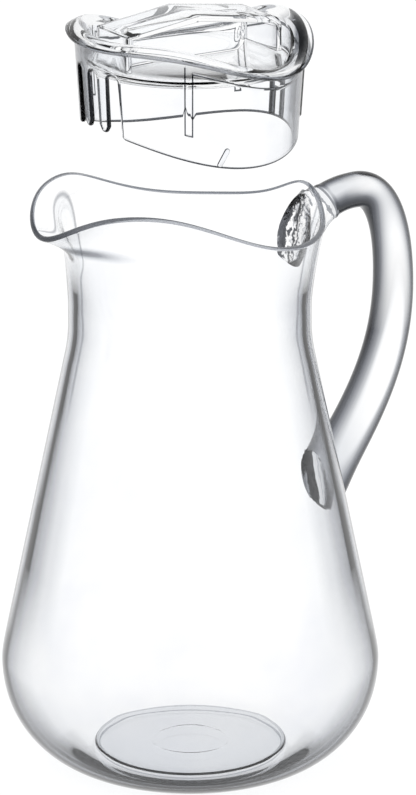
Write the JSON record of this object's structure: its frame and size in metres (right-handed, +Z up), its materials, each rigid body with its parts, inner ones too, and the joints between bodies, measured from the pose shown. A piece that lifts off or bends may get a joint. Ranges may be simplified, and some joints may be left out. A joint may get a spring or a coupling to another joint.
{
  "type": "fridge jug",
  "caption": "Clear plastic fridge jug with a round belly, waisted neck, wavy rim with spout, solid rod handle and a lift-out strainer lid with a bridge grip.",
  "frame": {"origin": "centre of the flat base that the jug stands on", "axes": "+Z up the jug's axis, +X towards the handle, -X towards the spout"},
  "size_m": [0.1782, 0.15, 0.3065],
  "materials": {
    "clear_body": "clear, polished",
    "clear_rod": "clear, solid, polished",
    "clear_cover": "clear, polished",
    "clear_strainer": "clear, polished",
    "clear_grip": "clear, polished"
  },
  "bodies": {
    "jug": {"jug_body": "clear_body", "handle": "clear_rod"},
    "lid": {"lid_cover": "clear_cover", "lid_strainer": "clear_strainer", "lid_grip": "clear_grip"}
  },
  "joints": [
    {"name": "lid_lift", "type": "slide", "parent": "jug", "child": "lid", "axis": [0, 0, 1], "range_m": [-0.0681, 0.02]}
  ]
}
